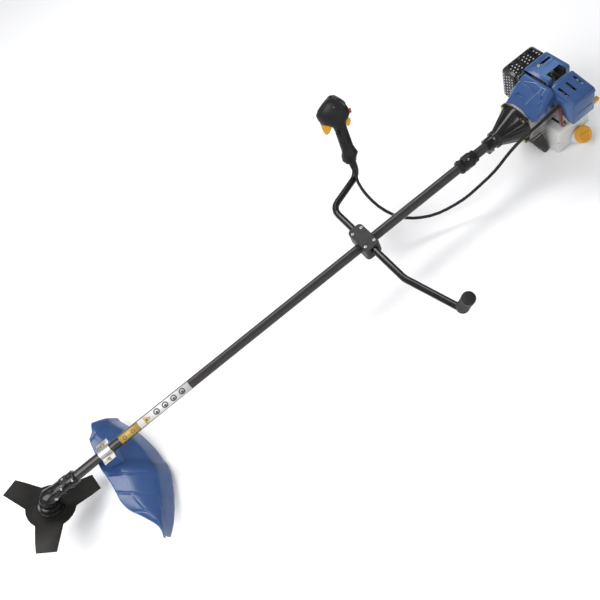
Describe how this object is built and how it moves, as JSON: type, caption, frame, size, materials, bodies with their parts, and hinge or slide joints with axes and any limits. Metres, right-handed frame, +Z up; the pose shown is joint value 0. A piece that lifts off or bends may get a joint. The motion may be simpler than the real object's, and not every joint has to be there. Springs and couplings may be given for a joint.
{
  "type": "brush cutter",
  "caption": "Petrol brush cutter: rear engine, long straight shaft, bent handlebar with a throttle grip, angled gear head, toothed metal blade and a wide curved guard.",
  "frame": {"origin": "on the ground, below the centre of the bounding box measured without the throttle cable", "axes": "+X along the shaft from the blade to the engine, +Y to the operator's right, +Z up"},
  "size_m": [1.8238, 0.693, 0.3516],
  "materials": {
    "blue_plastic": "glossy moulded plastic",
    "black_plastic": "fine-grained moulded plastic",
    "black_paint": "gloss black paint",
    "rubber": "matt black rubber",
    "orange_plastic": "satin moulded plastic",
    "red_plastic": "satin moulded plastic",
    "cast_aluminium": "as cast",
    "steel": "machined",
    "zinc": "bright zinc plate",
    "blade_steel": "satin black coating on steel",
    "tank_plastic": "translucent white plastic",
    "hose_rubber": "smooth fuel-proof rubber",
    "foam": "open-cell filter foam"
  },
  "bodies": {
    "machine": {"air_filter_base": "black_plastic", "air_filter_cover": "blue_plastic", "air_filter_element": "foam", "carb_insulator": "black_plastic", "carburettor": "cast_aluminium", "clutch_housing": "black_paint", "control_housing_inner": "black_plastic", "control_housing_outer": "black_plastic", "crankcase": "cast_aluminium", "cylinder": "cast_aluminium", "drum_bearing": "steel", "engine_stand": "black_plastic", "fan_case": "cast_aluminium", "front_cowl": "blue_plastic", "fuel_hose_1": "hose_rubber", "fuel_hose_2": "hose_rubber", "fuel_tank": "tank_plastic", "gear_case": "black_paint", "guard_saddle": "blue_plastic", "guard_shell": "blue_plastic", "guard_strap": "zinc", "handle_clamp_cap": "black_plastic", "handle_clamp_lower": "black_plastic", "handle_clamp_middle": "black_plastic", "handlebar": "black_paint", "hanger_collar": "black_plastic", "left_grip": "rubber", "muffler": "steel", "muffler_guard": "black_paint", "piston": "cast_aluminium", "recoil_housing": "black_plastic", "shaft_tube": "black_paint", "spark_plug": "steel", "spark_plug_boot": "rubber", "spindle_bearing": "steel", "throttle_cable": "rubber", "top_cover": "blue_plastic"},
    "drive": {"drive_shaft": "steel", "bevel_pinion": "steel", "clutch_drum": "steel"},
    "cutter": {"output_spindle": "steel", "bevel_gear": "steel", "blade_adapter": "black_paint", "blade": "blade_steel", "outer_flange": "steel", "blade_nut": "zinc"},
    "rotor": {"crankshaft": "steel", "flywheel_fan": "cast_aluminium", "clutch_shoe_1": "cast_aluminium", "clutch_shoe_2": "cast_aluminium"},
    "starter_grip": {"starter_handle": "black_plastic"},
    "starter_spool": {"starter_pulley": "black_plastic"},
    "trigger": {"throttle_trigger": "orange_plastic"},
    "throttle_arm": {"throttle_cam": "zinc"},
    "lockout": {"lockout_lever": "orange_plastic"},
    "stop_slider": {"stop_switch": "red_plastic"},
    "half_throttle_button": {"throttle_lock_button": "black_plastic"},
    "choke": {"choke_lever": "orange_plastic"},
    "primer": {"primer_bulb": "tank_plastic"},
    "tank_cap": {"fuel_cap": "orange_plastic"}
  },
  "joints": [
    {"name": "cutter_spin", "type": "hinge", "parent": "machine", "child": "cutter", "pos_m": [-0.81012, 0.04124, 0.142], "axis": [0.5, 0, 0.866], "continuous": true},
    {"name": "drive_spin", "type": "hinge", "parent": "machine", "child": "drive", "pos_m": [0.22188, 0.04124, 0.142], "axis": [1, 0, 0], "continuous": true},
    {"name": "rotor_spin", "type": "hinge", "parent": "machine", "child": "rotor", "pos_m": [0.74188, 0.04124, 0.142], "axis": [1, 0, 0], "continuous": true},
    {"name": "starter_pull", "type": "slide", "parent": "machine", "child": "starter_grip", "axis": [0, 1, 0], "range_m": [0, 0.6], "stiffness_N_per_m": 12},
    {"name": "starter_spin", "type": "hinge", "parent": "machine", "child": "starter_spool", "pos_m": [0.88188, 0.04124, 0.142], "axis": [1, 0, 0], "range_deg": [0, 990]},
    {"name": "trigger_squeeze", "type": "hinge", "parent": "machine", "child": "trigger", "pos_m": [0.33818, 0.32339, 0.296], "axis": [-0.5061, -0.728, 0.4625], "range_deg": [0, 12], "stiffness_Nm_per_rad": 0.4},
    {"name": "throttle_arm_turn", "type": "hinge", "parent": "machine", "child": "throttle_arm", "pos_m": [0.83988, -0.02726, 0.189], "axis": [0, 1, 0], "range_deg": [0, 50]},
    {"name": "lockout_press", "type": "hinge", "parent": "machine", "child": "lockout", "pos_m": [0.38207, 0.29126, 0.29345], "axis": [0.5061, 0.728, -0.4625], "range_deg": [0, 8], "stiffness_Nm_per_rad": 0.3},
    {"name": "stop_slide", "type": "slide", "parent": "machine", "child": "stop_slider", "axis": [0.2009, 0.4219, 0.8841], "range_m": [0, 0.006]},
    {"name": "button_press", "type": "slide", "parent": "machine", "child": "half_throttle_button", "axis": [0.5061, 0.728, -0.4625], "range_m": [0, 0.003], "stiffness_N_per_m": 200},
    {"name": "choke_turn", "type": "hinge", "parent": "machine", "child": "choke", "pos_m": [0.87488, -0.05876, 0.172], "axis": [1, 0, 0], "range_deg": [0, 60]},
    {"name": "primer_push", "type": "slide", "parent": "machine", "child": "primer", "axis": [0, 0, 1], "range_m": [0, 0.003], "stiffness_N_per_m": 200},
    {"name": "cap_turn", "type": "hinge", "parent": "machine", "child": "tank_cap", "pos_m": [0.86388, -0.03076, 0.017], "axis": [0.08, -0.7197, 0.6897], "continuous": true}
  ],
  "couplings": [
    {"joint": "drive_spin", "follows": "cutter_spin", "ratio": 1.3571},
    {"joint": "starter_spin", "follows": "starter_pull", "rad_per_m": 28.2},
    {"joint": "throttle_arm_turn", "follows": "trigger_squeeze", "ratio": 4}
  ]
}
